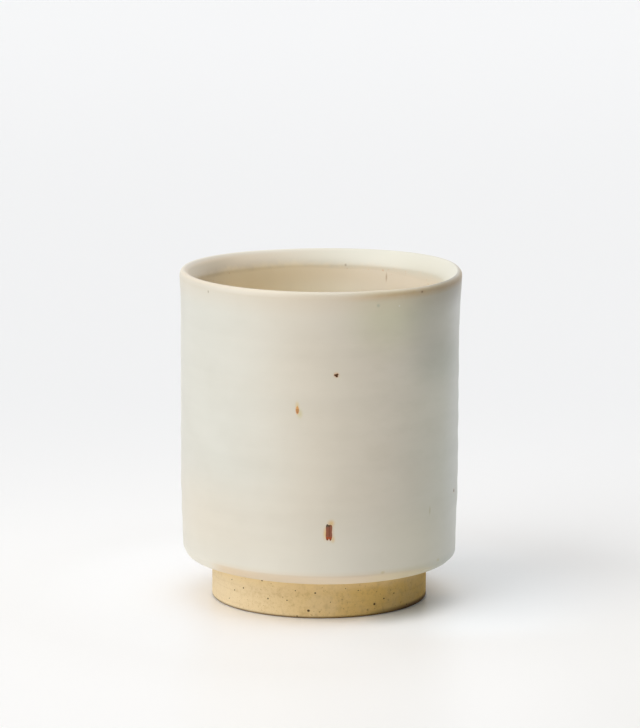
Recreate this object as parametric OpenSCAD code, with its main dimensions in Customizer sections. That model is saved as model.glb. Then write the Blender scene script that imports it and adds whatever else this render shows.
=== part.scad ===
// Straight-sided stoneware tea cup on a bare foot ring, in millimetres.
// The table is z = 0, the axis of the wheel is z, and the photographed side faces -Y.

/* [Body] */
// Height of the cup from the table to the top of the lip
cup_h = 96; // [80:0.5:120]
// Outside diameter of the glazed wall at its middle
body_d = 80.3; // [72:0.1:92]
// Thickness of the fired clay wall below the lip
wall_t = 3.6; // [2.8:0.1:4.5]
// How far the wall draws in at its lower end
draw_in = 0.5; // [0:0.05:1.5]
// Height over which the wall draws in
draw_in_h = 22; // [8:1:40]

/* [Lip] */
// Thickness of the rounded lip with its glaze
lip_t = 2.2; // [1.6:0.1:3]
// Slope of the inside of the lip away from upright, in degrees
lip_bevel = 34; // [20:1:45]
// How far the lip flares out past the wall
lip_flare = 0.35; // [0:0.05:1.2]
// Height over which the lip flares out
lip_flare_h = 8; // [4:0.5:15]

/* [Base] */
// Thickness of the clay floor
floor_t = 5; // [3.5:0.1:8]
// Radius of the inside corner between the floor and the wall
floor_fillet = 9; // [4:0.5:16]
// Rise of the bare underside from the foot ring out to the lower corner
shoulder_rise = 1.2; // [0.6:0.1:3]
// Height of the bevel turned on the lower corner
bevel_h = 2; // [0.8:0.1:4]
// Width of the bevel turned on the lower corner
bevel_w = 1.3; // [0.5:0.1:2.5]

/* [Foot ring] */
// Outside diameter of the foot ring
foot_d = 62.4; // [50:0.1:66]
// Height of the foot ring
foot_h = 11; // [5:0.5:18]
// Width of the foot ring at the table
foot_w = 5.6; // [4:0.1:9]
// How far the inside of the foot ring leans in towards the floor
foot_lean = 1; // [0:0.1:3]
// Rounding of the two lower edges of the foot ring
foot_edge_r = 0.9; // [0.3:0.1:1.5]

/* [Glaze] */
// Thickness of both coats of glaze
glaze_t = 0.5; // [0.3:0.05:0.8]
// Depth below the lip to which the outside glaze runs down inside
dip_depth = 4; // [2.5:0.5:10]

/* [Iron spots] */
// Width of the melted streak low on the front
streak_w = 1.9; // [0.8:0.1:3]
// Length of the melted streak
streak_len = 5; // [3.5:0.1:9]
// Height of the middle of the melted streak
streak_z = 27; // [22:0.5:50]
// Width of each fleck
fleck_w = 0.9; // [0.4:0.1:1.6]
// Length of the long fleck left of the middle
long_fleck_len = 2.6; // [2:0.1:5]
// Height of the long fleck
long_fleck_z = 62.5; // [50:0.5:66]
// Height of the round fleck right of the middle
round_fleck_z = 72; // [66:0.5:74]
// Height of the round fleck on the right side
side_fleck_z = 33; // [24:0.5:70]

/* [Hidden] */
$fn = 96;

// Stretches along a short curve and along the inside wall, and the angle of one stretch of an arc
curve_steps = 6;
wall_steps = 16;
arc_angle = 10;

// Heights on the outside
shoulder_z = foot_h + shoulder_rise;
bevel_z = shoulder_z + bevel_h;
lip_z = cup_h - lip_t / 2;
dip_z = cup_h - dip_depth;

// Heights on the inside
floor_z = foot_h + floor_t + glaze_t;
corner_z = floor_z + floor_fillet;

// Radii
foot_r = foot_d / 2;
full_t = wall_t + 2 * glaze_t;

// Upper end of the lip's sloped inside: its thickness and height, and the depth over which the wall grows full
edge_t = lip_t / 2 * (1 + cos(lip_bevel));
edge_z = lip_z + lip_t / 2 * sin(lip_bevel);
taper_h = 2 * (full_t - edge_t) / tan(lip_bevel);

// Bearing round the cup from its front, height, width and length of each iron spot
iron_marks = [
    [4, streak_z, streak_w, streak_len],
    [-8.5, long_fleck_z, fleck_w, long_fleck_len],
    [6.5, round_fleck_z, fleck_w, fleck_w],
    [75, side_fleck_z, fleck_w, fleck_w],
];

// A step from 0 to 1 that starts and ends level
function ease(t) = let (c = max(0, min(1, t))) c * c * (3 - 2 * c);

// Evenly spaced values from one end to the other
function spread(from, to, steps) = [for (i = [0 : steps]) from + (to - from) * i / steps];

// Points on an arc, from one angle to another
function arc(centre, r, from, to) = let (steps = ceil(abs(to - from) / arc_angle))
    [for (a = spread(from, to, steps)) centre + r * [cos(a), sin(a)]];

function reverse(points) = [for (i = [len(points) - 1 : -1 : 0]) points[i]];

// One outline from stretches that share their end points
function outline(stretches) = let (points = [for (stretch = stretches) each stretch])
    [for (i = [0 : len(points) - 1]) if (i == 0 || norm(points[i] - points[i - 1]) > 1e-6) points[i]];

// Outside radius of the glazed wall: drawn in at the bottom, flared at the lip
function wall_r(z) = body_d / 2
    - draw_in * (1 - ease((z - bevel_z) / draw_in_h))
    + lip_flare * ease(1 - (lip_z - z) / lip_flare_h);

// Part of the lip's taper that is left above a height: 1 at the lip, 0 where the wall is full
function taper(z) = 1 - max(0, min(1, (edge_z - z) / taper_h));

// Inside radius of the glazed wall: the wall thins towards the lip along a parabola
function inner_r(z) = wall_r(z) - full_t + (full_t - edge_t) * taper(z) * taper(z);

// A point on the inside wall, inset from the glazed face along the slope's normal
function inside_point(z, inset) = let (slope = atan(tan(lip_bevel) * taper(z)))
    [inner_r(z) + inset * cos(slope), z - inset * sin(slope)];

lip_centre = [wall_r(lip_z) - lip_t / 2, lip_z];

// Outside of the wall from the bevel up to the lip, inset from the glazed face
function wall_line(inset) = let (
    lower = spread(bevel_z, bevel_z + draw_in_h, curve_steps),
    upper = spread(lip_z - lip_flare_h, lip_z, curve_steps)
) [for (z = concat(lower, upper)) [wall_r(z) - inset, z]];

// Over the lip from outside to inside
function lip_line(inset) = arc(lip_centre, lip_t / 2 - inset, 0, 180 - lip_bevel);

// Down the inside from the lip to the lower edge of the outside glaze
function dip_line(inset) = [for (z = spread(edge_z, dip_z, curve_steps)) inside_point(z, inset)];

// Down the inside wall from that edge to the corner
function inside_line(inset) = let (
    upper = spread(dip_z, edge_z - taper_h, curve_steps),
    lower = spread(edge_z - taper_h, corner_z, wall_steps)
) [for (z = concat(upper, lower)) inside_point(z, inset)];

// From the inside wall round the corner to the middle of the floor
function floor_line(inset) = let (
    centre = [inner_r(corner_z) - floor_fillet, corner_z]
) concat(arc(centre, floor_fillet + inset, 0, -90), [[0, floor_z - inset]]);

// The two corners of the clay bevel, and the slopes of its face and of the underside
clay_foot = [wall_r(bevel_z) - glaze_t - bevel_w, shoulder_z];
clay_top = [wall_r(bevel_z) - glaze_t, bevel_z];
bevel_slope = atan2(bevel_w, bevel_h);
underside_slope = atan2(shoulder_rise, clay_foot.x - foot_r);

// Rolled lower edge of the outside glaze, from the underside round the corner to the wall
function rolled_edge() = concat(
    arc(clay_foot, glaze_t, underside_slope - 180, -bevel_slope),
    arc(clay_top, glaze_t, -bevel_slope, 0)
);

// Outside glaze over the wall and the lip, before the spots melt into it
module glaze_coat() {
    clay_side = [[clay_foot], wall_line(glaze_t), lip_line(glaze_t), dip_line(glaze_t)];
    rotate_extrude()
        polygon(outline([
            rolled_edge(),
            wall_line(0),
            lip_line(0),
            dip_line(0),
            reverse(outline(clay_side))
        ]));
}

// Round-ended bar that passes through the wall's glaze at one spot
module spot_bar(bearing, height, width, length) {
    run = length - width;
    rotate(bearing)
        translate([0, -wall_r(height), height])
            rotate([90, 0, 0])
                linear_extrude(6 * glaze_t, center = true) {
                    if (run > 0)
                        square([width, run], center = true);
                    for (end = [-1, 1])
                        translate([0, end * run / 2])
                            circle(d = width);
                }
}

module thrown_body() {
    color("#d9c8a5")
        rotate_extrude()
            polygon(outline([
                [[0, foot_h], [foot_r, foot_h], clay_foot],
                wall_line(glaze_t),
                lip_line(glaze_t),
                dip_line(glaze_t),
                inside_line(glaze_t),
                floor_line(glaze_t)
            ]));
}

module foot_ring() {
    inside_r = foot_r - foot_w;
    color("#cdb07c")
        rotate_extrude()
            polygon(outline([
                [[foot_r, foot_h], [inside_r - foot_lean, foot_h]],
                arc([inside_r + foot_edge_r, foot_edge_r], foot_edge_r, 180, 270),
                arc([foot_r - foot_edge_r, foot_edge_r], foot_edge_r, 270, 360)
            ]));
}

module inner_glaze() {
    clay_side = [inside_line(glaze_t), floor_line(glaze_t)];
    color("#d8cbae")
        rotate_extrude()
            polygon(outline([
                inside_line(0),
                floor_line(0),
                reverse(outline(clay_side))
            ]));
}

module outer_glaze() {
    color("#dcd8ca")
        difference() {
            glaze_coat();
            for (mark = iron_marks)
                spot_bar(mark[0], mark[1], mark[2], mark[3]);
        }
}

module iron_spots() {
    color("#8a3f1c")
        for (mark = iron_marks)
            intersection() {
                glaze_coat();
                spot_bar(mark[0], mark[1], mark[2], mark[3]);
            }
}

thrown_body();
foot_ring();
inner_glaze();
outer_glaze();
iron_spots();
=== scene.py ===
"""Stoneware tea cup: a thrown body in a pale glaze with iron spots, on a bare, sandy foot ring.

Every piece is a surface of revolution: a profile of radius and height, carried round the axis of the
wheel and then bent a little, as a hand-thrown cup is. Bearings are measured round the axis from the front
(-Y), positive towards +X. Lengths are in metres, except in the tables and steps that say millimetres.
"""
from collections import namedtuple

import bpy
import numpy as np
from bpy.props import FloatProperty, FloatVectorProperty, PointerProperty
from mathutils import Matrix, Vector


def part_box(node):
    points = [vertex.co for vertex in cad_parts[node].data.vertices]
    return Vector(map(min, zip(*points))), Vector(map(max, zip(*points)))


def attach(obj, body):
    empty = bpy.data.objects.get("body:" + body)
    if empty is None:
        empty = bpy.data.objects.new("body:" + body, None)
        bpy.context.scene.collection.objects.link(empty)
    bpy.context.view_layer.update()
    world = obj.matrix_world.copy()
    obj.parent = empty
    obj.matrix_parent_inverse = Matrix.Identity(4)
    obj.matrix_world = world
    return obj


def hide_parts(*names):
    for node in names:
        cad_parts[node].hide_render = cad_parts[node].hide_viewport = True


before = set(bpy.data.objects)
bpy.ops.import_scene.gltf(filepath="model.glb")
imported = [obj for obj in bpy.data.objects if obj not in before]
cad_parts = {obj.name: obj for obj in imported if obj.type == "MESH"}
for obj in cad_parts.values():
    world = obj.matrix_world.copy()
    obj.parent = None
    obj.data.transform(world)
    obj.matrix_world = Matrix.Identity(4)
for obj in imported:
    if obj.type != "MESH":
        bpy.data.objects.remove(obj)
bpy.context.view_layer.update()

bl_info = {
    "name": "Stoneware Tea Cup",
    "version": (1, 0, 0),
    "blender": (4, 5, 0),
    "location": "3D View > Sidebar > Tea Cup",
    "description": "Builds a glazed, hand-thrown tea cup on a bare clay foot ring",
    "category": "Add Mesh",
}

MM = 0.001
BODY = "root"

# Sizes that the solids fix
COAT_LOW, COAT_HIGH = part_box("outer_glaze")
CLAY_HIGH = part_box("thrown_body")[1]
LINER_LOW, LINER_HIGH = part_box("inner_glaze")
FOOT_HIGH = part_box("foot_ring")[1]
GLAZE_T = COAT_HIGH.x - CLAY_HIGH.x


def length(name, description, default):
    """A length that a user may change, in metres."""
    return FloatProperty(name=name, description=description, default=default, unit="LENGTH", precision=5)


def angle(name, description, degrees):
    """An angle that a user may change."""
    return FloatProperty(name=name, description=description, default=np.radians(degrees), subtype="ANGLE")


def number(name, description, default, unit="NONE"):
    """A plain number that a user may change."""
    return FloatProperty(name=name, description=description, default=default, unit=unit)


def colour(name, description, default):
    """A linear colour that a user may change."""
    return FloatVectorProperty(
        name=name, description=description, default=default, subtype="COLOR", min=0, max=1
    )


class CupSizes(bpy.types.PropertyGroup):
    """Sizes of the cup."""

    cup_h: length("Cup height", "Table to the top of the lip", COAT_HIGH.z)
    lip_r: length("Lip radius", "Outside radius of the lip", COAT_HIGH.x)
    lip_t: length("Lip thickness", "Thickness of the rounded lip with its glaze", 2.2 * MM)
    lip_bevel: angle("Lip slope", "Slope of the inside of the lip away from upright", 47)
    lip_curve: number("Lip curve", "Power of the curve by which the wall thins towards the lip", 1.7)
    lip_round_h: length("Lip rounding", "Height over which the outside of the lip rounds over", 2.0 * MM)
    lip_flare: length("Lip flare", "How far the lip stands out past the wall", 0.35 * MM)
    lip_flare_h: length("Lip flare height", "Height over which the lip flares", 8 * MM)
    wall_t: length("Wall thickness", "Thickness of the wall with both coats of glaze", 4.6 * MM)
    draw_in: length("Draw-in", "How far the wall draws in at its lower end", 0.5 * MM)
    draw_in_h: length("Draw-in height", "Height over which the wall draws in", 22 * MM)
    bevel_h: length("Bevel height", "Height of the bevel on the lower corner", 1.6 * MM)
    bevel_w: length("Bevel width", "Width of the bevel on the lower corner", 1.0 * MM)
    bend_h: length("Bend height", "Height over which the bevel bends into the wall", 0.7 * MM)
    shoulder_z: length("Shoulder height", "Height of the clay's lower corner", COAT_LOW.z + GLAZE_T)
    glaze_t: length("Glaze thickness", "Thickness of a coat of glaze", GLAZE_T)
    dip_depth: length("Dip depth", "How far the outside glaze runs down inside", COAT_HIGH.z - LINER_HIGH.z)
    dip_slant: length("Dip slant", "How much deeper the dip is on the right than on the left", 3.3 * MM)
    liner_top: length("Liner top", "How far under the lip the inside glaze starts", 1.9 * MM)
    floor_z: length("Floor height", "Height of the glazed floor inside", LINER_LOW.z + GLAZE_T)
    floor_fillet: length("Floor corner", "Radius of the inside corner at the floor", 9 * MM)
    foot_r: length("Foot radius", "Outside radius of the foot ring", FOOT_HIGH.x)
    foot_h: length("Foot height", "Height of the foot ring", FOOT_HIGH.z)
    foot_w: length("Foot width", "Width of the foot ring at the table", 5.6 * MM)
    foot_lean: length("Foot lean", "How far the inside of the foot leans in", 1 * MM)
    foot_edge_r: length("Foot edge", "Rounding of the foot's lower edges", 0.5 * MM)
    ring_depth: length("Throwing rings", "Depth of the rings that the fingers left", 0.05 * MM)
    ring_pitch: length("Ring pitch", "Height from one throwing ring to the next", 7.5 * MM)
    spiral_depth: length("Turned spiral", "Depth of the spiral turned on the underside", 0.12 * MM)
    spiral_pitch: length("Spiral pitch", "Width of one turn of the spiral", 2.6 * MM)
    button_h: length("Button height", "Height of the button in the middle of the underside", 0.5 * MM)
    button_r: length("Button radius", "Radius of the button in the middle of the underside", 5 * MM)


class CupColours(bpy.types.PropertyGroup):
    """Colours of the glaze, the clay and the iron."""

    glaze: colour("Glaze", "Pale glaze on the front", (0.690, 0.632, 0.525))
    # Painted sheen: the paler, cooler glaze on the wall's two sides; inside, the greyer glaze pooled in the
    # corner
    pale_glaze_and_side_sheen: colour("Cool glaze", "Glaze that cooled paler on the two sides", (0.630, 0.620, 0.552))
    # Painted reflection: the pale bluish glaze at the far right edge of the wall
    glaze_far_reflection: colour("Far glaze", "Glaze at the far right of the wall", (0.67, 0.69, 0.72))
    glaze_blush: colour("Blush", "Glaze that fired to a faint peach", (0.680, 0.590, 0.465))
    # Pooled glaze above the edge, and painted light on the rolled edge at the far left
    pooled_glaze_and_painted_light: colour("Pooled glaze", "Glaze that lies thick above the edge", (0.720, 0.685, 0.585))
    glaze_edge: colour("Edge glaze", "Glaze at its rolled lower edge", (0.800, 0.655, 0.475))
    glaze_thin: colour("Thin glaze", "Glaze drawn thin over an edge", (0.680, 0.540, 0.370))
    # Painted shade: the grey tint of the patches under the lip on the right
    lip_shade: colour("Smoke", "Tint of the smoked patch under the lip", (0.56, 0.56, 0.52))
    rim: colour("Rim", "Brown line where the glaze broke under the lip", (0.510, 0.325, 0.095))
    # Painted highlight: the pale colour on the crest at the lip's far left
    crest: colour("Crest", "Glaze on top of the lip's far left", (0.80, 0.775, 0.70))
    liner: colour("Inside glaze", "Glaze inside the cup", (0.785, 0.706, 0.578))
    liner_warm: colour("Warm inside glaze", "Inside glaze on its warmer side", (1.0, 0.862, 0.600))
    double: colour("Double glaze", "Glaze inside the lip, where both coats overlap", (0.710, 0.690, 0.592))
    double_warm: colour("Warm double glaze", "Double glaze on its warmer side", (0.765, 0.650, 0.490))
    clay: colour("Bare clay", "Fired clay of the underside", (0.66, 0.50, 0.27))
    sand: colour("Foot clay", "Sandy clay of the foot ring", (0.750, 0.505, 0.152))
    # Paler foot clay, mixed in towards the left and in drifts
    sand_pale: colour("Pale sand", "Foot clay on the side that fired paler", (0.760, 0.620, 0.400))
    # Painted light: the lighter foot clay under the glaze, where the body's overhang shades it
    sand_top_painted_light: colour("Upper sand", "Foot clay just under the glaze", (0.960, 0.760, 0.420))
    sand_dark: colour("Dark sand", "Darker grains in the foot ring", (0.440, 0.285, 0.110))
    sand_dot: colour("Rusty sand", "Small rusty dots in the foot ring", (0.30, 0.16, 0.05))
    # Iron specks; the same colour paints the contact shadow along the foot's lower edge
    speck: colour("Speck", "Iron specks in the clay", (0.060, 0.026, 0.009))
    iron: colour("Iron", "Darkest iron of a spot", (0.070, 0.032, 0.013))
    brown: colour("Brown", "Dull brown body of an iron spot", (0.275, 0.097, 0.055))
    rust: colour("Rust", "Rust at the foot of an iron spot", (0.380, 0.075, 0.022))
    amber: colour("Amber", "Stained glaze round an iron spot", (0.660, 0.340, 0.120))
    olive: colour("Olive", "Greenish melt at the head of the streak", (0.090, 0.082, 0.052))


class StageSettings(bpy.types.PropertyGroup):
    """Camera, lights and floor."""

    camera_distance: length("Camera distance", "Level distance from the axis to the camera", 1.150)
    camera_h: length("Camera height", "Height of the camera above the table", 0.2823)
    camera_pitch: angle("Camera pitch", "How far the camera looks down", 10.556)
    camera_roll: angle("Camera roll", "Turn of the camera about its own line of sight", 0.24)
    lens: number("Lens", "Focal length on a 36 mm sensor", 199.9, "CAMERA")
    floor: colour("Floor", "Pale floor in front of the cup", (0.925, 0.913, 0.897))
    # Painted light: the floor brighter round the foot
    floor_near_painted_light: colour("Near floor", "Pale floor round the foot", (0.985, 0.985, 0.990))
    floor_shade: colour("Shaded floor", "Pale floor in the cup's shade", (0.965, 0.985, 1.0))
    # Painted shade: the floor darker on the side away from the softbox
    floor_side_shade: colour("Side floor", "Pale floor on the side away from the softbox", (0.850, 0.838, 0.815))
    floor_mid: colour("Middle floor", "Pale floor behind the cup", (0.83, 0.83, 0.83))
    floor_far: colour("Far floor", "Pale floor far behind the cup", (0.87, 0.87, 0.87))
    key_power: number("Key light", "Strength of the softbox at the left", 2.15)
    key_bearing: angle("Key bearing", "Bearing of the softbox from the front", -60)
    key_height: angle("Key height", "How high the softbox stands, seen from the cup", 27)
    key_spread: angle("Key spread", "How wide the softbox looks from the cup", 62)
    top_power: number("Top light", "Strength of the wide light overhead", 1.8)
    top_spread: angle("Top spread", "How wide the light overhead looks from the cup", 84)
    fill_power: number("Fill light", "Strength of the reflector behind the cup at the right", 0.36)
    fill_bearing: angle("Fill bearing", "Bearing of the reflector from the front", 125)
    fill_height: angle("Fill height", "How high the reflector stands, seen from the cup", 35)
    fill_spread: angle("Fill spread", "How wide the reflector looks from the cup", 70)
    under_power: number("Under light", "Strength of the light on the recess of the foot", 1.6)
    sky: number("Sky", "Strength of the even light from all round", 0.08)
    walls: number("Studio walls", "Brightness of the studio seen and mirrored", 0.93)


# Shapes

# Points round the axis, and rows up the shown and the hidden side of a wall
COLUMNS = 360
SHOWN_ROWS = 60
HIDDEN_ROWS = 24

# How far the inside glaze lies behind the dipped glaze, and the clay behind both
LINER_SUNK = 0.06 * MM
CLAY_GAP = 0.02 * MM

# The dipped glaze inside: mean depth and whole run as shares of the dip, thinning, and start of its mark
DIP_MEAN = 1.1
DIP_RUN = 1.4
DIP_THINNING = 0.10 * MM
DIP_START = 0.12

# How far the lip, the top of the bevel and the dip's line are lowered on their own stretches of bearings
LIP_PRESS = 0.40 * MM
BEVEL_PRESS = 0.9 * MM
DIP_DROP = 1.3 * MM

# Height over which the bend of the lower corner fades out, and half the height of the lip's thin band
CORNER_FADE = 8 * MM
LIP_BAND = 1.8 * MM

# Waves round the cup: crests, height in millimetres and bearing of a crest; no crests is an even height
ROUND_WAVES = ((2, 0.10, 60), (3, 0.05, 20))
FLARE_WAVES = ((0, 0.18, 0), (1, 0.16, 90))
LIP_WAVES = ((0, -0.13, 0), (1, 0.14, 122), (2, 0.21, 108), (3, 0.08, 0))
CORNER_WAVES = ((0, 0.33, 0), (1, 0.31, -80), (2, 0.31, -85))
DIP_WAVES = ((5, 0.25, 10), (9, 0.15, 50))

# Stretches of bearings: the middle, and how far from it they end and how far they stay full, in degrees
STRETCHES = {
    "pressed lip": (66, 42, 8),
    "crisp lip": (62, 50, 25),
    "thin lip": (38, 36, 8),
    "peach lip": (66, 42, 15),
    "brown rim": (58, 48, 18),
    # Stretch on the right where the crest's painted highlight is left out
    "crest without highlight": (65, 62, 42),
    "pressed bevel": (90, 65, 20),
    "deep dip": (-150, 55, 20),
    "front": (0, 62, 40),
    "faint edge": (62, 45, 10),
    # Stretch where painted light makes the down-facing bevel paler
    "left edge light": (-90, 55, 40),
}


def ease(t):
    """A step from 0 to 1 that starts and ends level."""
    t = np.clip(t, 0.0, 1.0)
    return t * t * (3.0 - 2.0 * t)


def hump(value, middle, reach):
    """1 at a middle value, 0 beyond its reach on both sides, and an eased step between."""
    return ease(1 - np.abs(value - middle) / reach)


def bearings(count=COLUMNS):
    """Bearings round the axis, one per column, with the seam at the back."""
    return np.linspace(-np.pi, np.pi, count, endpoint=False)


def waves(bearing, crests):
    """A sum of cosines round the cup, each with that many crests of that height, one at that bearing."""
    return sum(height * MM * np.cos(count * (bearing - np.radians(peak))) for count, height, peak in crests)


def window(bearing, stretch):
    """1 in the middle of a stretch of bearings, 0 beyond its ends, and an eased step of cosines between."""
    middle, reach, flat = np.radians(STRETCHES[stretch])
    far, near = np.cos(reach), np.cos(flat)
    return ease((np.cos(bearing - middle) - far) / (near - far))


def bevel_top(s):
    """Height of the top of the bevel on the lower corner."""
    return s.shoulder_z + s.bevel_h


def corner_top(s):
    """Height at which the inside corner runs into the wall."""
    return s.floor_z + s.floor_fillet


def lip_edge(s):
    """Height of the upper end of the lip's sloped inside."""
    return s.cup_h - s.lip_t / 2 * (1 - np.sin(s.lip_bevel))


def wall_radius(z, s):
    """Outside radius of the glazed wall at height z.

    The wall is drawn in at the bottom and flared at the lip, both by eased steps of the height.
    """
    lip_z = s.cup_h - s.lip_t / 2
    drawn = s.draw_in * (1 - ease((z - bevel_top(s)) / s.draw_in_h))
    flared = s.lip_flare * ease(1 - (lip_z - z) / s.lip_flare_h)
    return s.lip_r - s.lip_flare - drawn + flared


def lip_taper(z, s):
    """Thickness that the wall loses at the lip, and the share of its taper that is left at height z."""
    lost = s.wall_t - s.lip_t / 2 * (1 + np.cos(s.lip_bevel))
    taper_h = s.lip_curve * lost / np.tan(s.lip_bevel)
    return lost, 1 - np.clip((lip_edge(s) - z) / taper_h, 0, 1)


def inner_radius(z, s):
    """Inside radius of the glazed wall: the wall thins towards the lip along a power curve."""
    lost, left = lip_taper(z, s)
    return wall_radius(z, s) - s.wall_t + lost * left ** s.lip_curve


def inside_point(z, inset, s):
    """Points (r, z) of the inside wall, inset from the glazed face along the normal of its slope."""
    _, left = lip_taper(z, s)
    slope = np.arctan(np.tan(s.lip_bevel) * left ** (s.lip_curve - 1))
    return path(inner_radius(z, s) + inset * np.cos(slope), z - inset * np.sin(slope))


def arc(centre, radius, start, end, steps):
    """Points (r, z) on an arc about a centre, from one angle in degrees to another."""
    a = np.radians(np.linspace(start, end, steps + 1))
    return np.stack([centre[0] + radius * np.cos(a), centre[1] + radius * np.sin(a)], -1)


def path(radius, z):
    """Points (r, z) from a radius and a height, each an array or one number."""
    return np.stack(np.broadcast_arrays(np.asarray(radius, float), np.asarray(z, float)), -1)


def joined(*stretches):
    """One profile from stretches that share their ends: each later stretch drops its first point."""
    return np.concatenate([stretches[0]] + [s[1:] for s in stretches[1:]])


def lip_centre(s):
    """Centre of the lip's rounding."""
    lip_z = s.cup_h - s.lip_t / 2
    return wall_radius(lip_z, s) - s.lip_t / 2, lip_z


def outside_path(low, inset, s, rows):
    """From a height up the outside wall to the lip and over it, inset from the glazed face.

    The lip is a quarter of an ellipse on the outside and then an arc down to its sloped inside.
    """
    start_z = s.cup_h - s.lip_round_h
    z = np.linspace(low, start_z, rows + 1)
    side = path(wall_radius(z, s) - inset, z)
    centre, radius = lip_centre(s), s.lip_t / 2 - inset
    a = np.linspace(0, np.pi / 2, 15)
    across = centre[0] + (side[-1, 0] - centre[0]) * np.cos(a)
    outside = path(across, start_z + (centre[1] + radius - start_z) * np.sin(a))
    return joined(side, outside, arc(centre, radius, 90, 180 - np.degrees(s.lip_bevel), 8))


def clay_corner(s):
    """The clay's lower corner, round which the glaze rolls under."""
    return wall_radius(bevel_top(s), s) - s.glaze_t - s.bevel_w, s.shoulder_z


def lower_corner(s):
    """The glaze from its rolled edge under the corner, over the bevel and softly up into the wall.

    The roll is an arc about the clay's corner; the bevel then bends into the wall along a quadratic curve.
    """
    slope = np.degrees(np.arctan2(s.bevel_w, s.bevel_h))
    roll = arc(clay_corner(s), s.glaze_t, -172, -slope, 12)
    knee, top = (path(wall_radius(z, s), z) for z in (bevel_top(s), bevel_top(s) + s.bend_h))
    t = np.linspace(0, 1, 17)[:, None]
    bend = roll[-1] * (1 - t) ** 2 + 2 * knee * t * (1 - t) + top * t ** 2
    return joined(roll, bend)


def inside_path(top, inset, s, rows):
    """From a height down the inside wall to the corner at the floor, inset from the glazed face."""
    return inside_point(np.linspace(top, corner_top(s), rows + 1), inset, s)


def floor_path(inset, s, rows):
    """From the inside wall round the corner by an arc and along the floor to the axis."""
    centre = inner_radius(corner_top(s), s) - s.floor_fillet, corner_top(s)
    corner = arc(centre, s.floor_fillet + inset, 0, -90, 16)
    return joined(corner, path(np.linspace(corner[-1, 0], 0, rows + 1), s.floor_z - inset))


def spread(profile):
    """A profile (rows, 2) repeated for every bearing, as a grid (rows, columns, 2)."""
    return np.repeat(profile[:, None, :], COLUMNS, 1)


def around(r, z, b):
    """Points at a radius, height and bearing: x is the radius times its sine, and y minus its cosine."""
    return np.stack([r * np.sin(b), -r * np.cos(b), z], -1)


def hand_thrown(grid, s, b):
    """Carries a grid (rows, columns, 2) round the axis and bends it as a hand-thrown cup is bent.

    Radius: waves round the cup make it a little out of round and flare the lip unevenly, and sines of
    height and bearing make the spiral of throwing rings. Height: waves round the cup raise and lower the
    lip and the lower corner, and the lip and the top of the bevel are pressed down on the right.
    """
    r, z = grid[..., 0], grid[..., 1]
    near_lip = ease((z / s.cup_h - 0.6) / 0.4)
    flaring = ease((z / s.cup_h - 0.80) / 0.14)
    on_wall = ease((z - s.shoulder_z) / (6 * MM))
    off_axis = ease(r / (20 * MM))
    past_foot = ease((r - s.foot_r) / (5 * MM))
    on_bevel = ease((z - s.shoulder_z) / s.bevel_h)
    rings = np.sin(2 * np.pi * z / s.ring_pitch + b)
    rings = rings + 0.6 * np.sin(2 * np.pi * z / (1.7 * s.ring_pitch) - b + 1.1)
    bent = waves(b, ROUND_WAVES) + flaring * waves(b, FLARE_WAVES)
    lip = waves(b, LIP_WAVES) - LIP_PRESS * window(b, "pressed lip")
    pressed = BEVEL_PRESS * window(b, "pressed bevel") * on_bevel
    corner = waves(b, CORNER_WAVES) * (1 - ease((z - s.shoulder_z) / CORNER_FADE))
    corner = corner - pressed * (1 - ease((z - bevel_top(s)) / CORNER_FADE))
    r = r + on_wall * off_axis * (s.ring_depth * rings * (1 - near_lip) + bent)
    return around(r, z + near_lip * lip + past_foot * corner, b)


def dip_line(b, s):
    """Depth of the dip's line below the lip: a slant, short waves and a drop at the back left."""
    slant = s.dip_slant * (np.sin(b) / 2 - np.cos(2 * b) / 4)
    return DIP_MEAN * s.dip_depth + slant + waves(b, DIP_WAVES) + DIP_DROP * window(b, "deep dip")


def outer_side(r, s):
    """1 on the outer side of the lip and 0 on its inner side, by an eased step from its middle."""
    return ease((r - lip_centre(s)[0]) / (0.8 * MM))


def coat_grid(b, s):
    """Grid (rows, columns, 2) of the dipped coat, and how many of its rows lie outside and inside.

    The rows run from the rolled edge up the outside and over the lip, down inside past the dip's line, and
    back the same way on the clay's side. On part of the lip the outer edge is drawn up to a crisper one.
    """
    outside = spread(joined(lower_corner(s), outside_path(bevel_top(s) + s.bend_h, 0.0, s, SHOWN_ROWS)))
    behind = outside_path(bevel_top(s), s.glaze_t, s, HIDDEN_ROWS)
    behind = spread(np.concatenate([[clay_corner(s)], behind]))
    below = s.cup_h - outside[..., 1]
    crisp = 0.4 * window(b, "crisp lip") * (1 - ease((below - s.lip_round_h) / s.lip_round_h))
    outside[..., 1] += below * crisp * outer_side(outside[..., 0], s)
    t = np.linspace(0, 1, 33)[1:, None]
    z = lip_edge(s) * (1 - t) + (s.cup_h - DIP_RUN * dip_line(b, s)) * t
    inside = inside_point(z, DIP_THINNING * ease((t - 0.6) / 0.4), s)
    back = inside_point(z, s.glaze_t, s)
    return np.concatenate([outside, inside, back[::-1], behind[::-1]]), len(outside), len(inside)


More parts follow.
